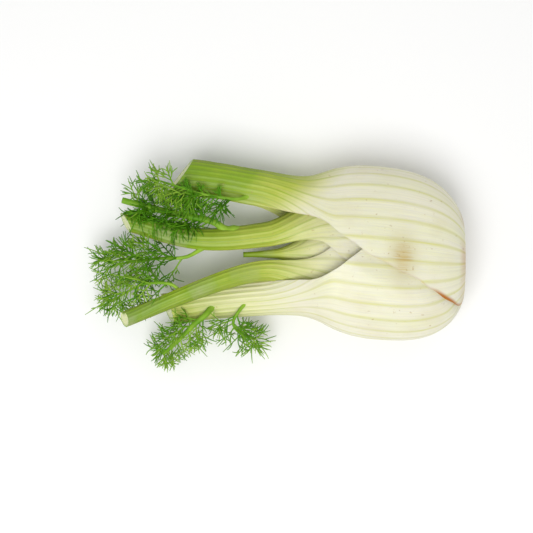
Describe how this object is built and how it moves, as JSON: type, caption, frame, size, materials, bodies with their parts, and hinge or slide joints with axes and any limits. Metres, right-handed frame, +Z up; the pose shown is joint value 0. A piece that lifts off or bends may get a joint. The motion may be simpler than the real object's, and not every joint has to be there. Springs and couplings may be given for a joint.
{
  "type": "fennel bulb",
  "caption": "Florence fennel bulb lying on its broad side, thick nested leaf bases on a trimmed root plate, ribbed stalks cut short, feathery green fronds",
  "frame": {"origin": "the middle of the small flat spot that the bulb rests on, on the surface under it", "axes": "+X along the bulb towards the cut root end, +Y across its broad side, +Z up from the surface"},
  "size_m": [0.2268, 0.1281, 0.0526],
  "materials": {
    "outer_leaf": "waxy skin of a fresh leaf base, ivory at the bulb and green at the stalk",
    "inner_leaf": "waxy skin of a fresh green stalk",
    "heart": "tender pale yellow-green young leaves",
    "root_plate": "dry cut face with a little browning",
    "frond": "satin thread-like leaves"
  },
  "bodies": {
    "root": {"leaf_1_outer_base_and_stalk": "outer_leaf", "leaf_2_outer_base_and_stalk": "outer_leaf", "leaf_3_inner_base_and_stalk": "inner_leaf", "leaf_4_inner_base_and_stalk": "inner_leaf", "heart_of_young_leaves": "heart", "root_plate": "root_plate", "frond_1_over_top_stalk": "frond", "frond_2_on_thin_side_stem": "frond", "frond_3_between_stalks": "frond", "frond_4_on_lower_stalk": "frond", "frond_5_hanging_from_lower_stalk": "frond", "frond_6_beside_lower_stalk": "frond"}
  },
  "joints": []
}
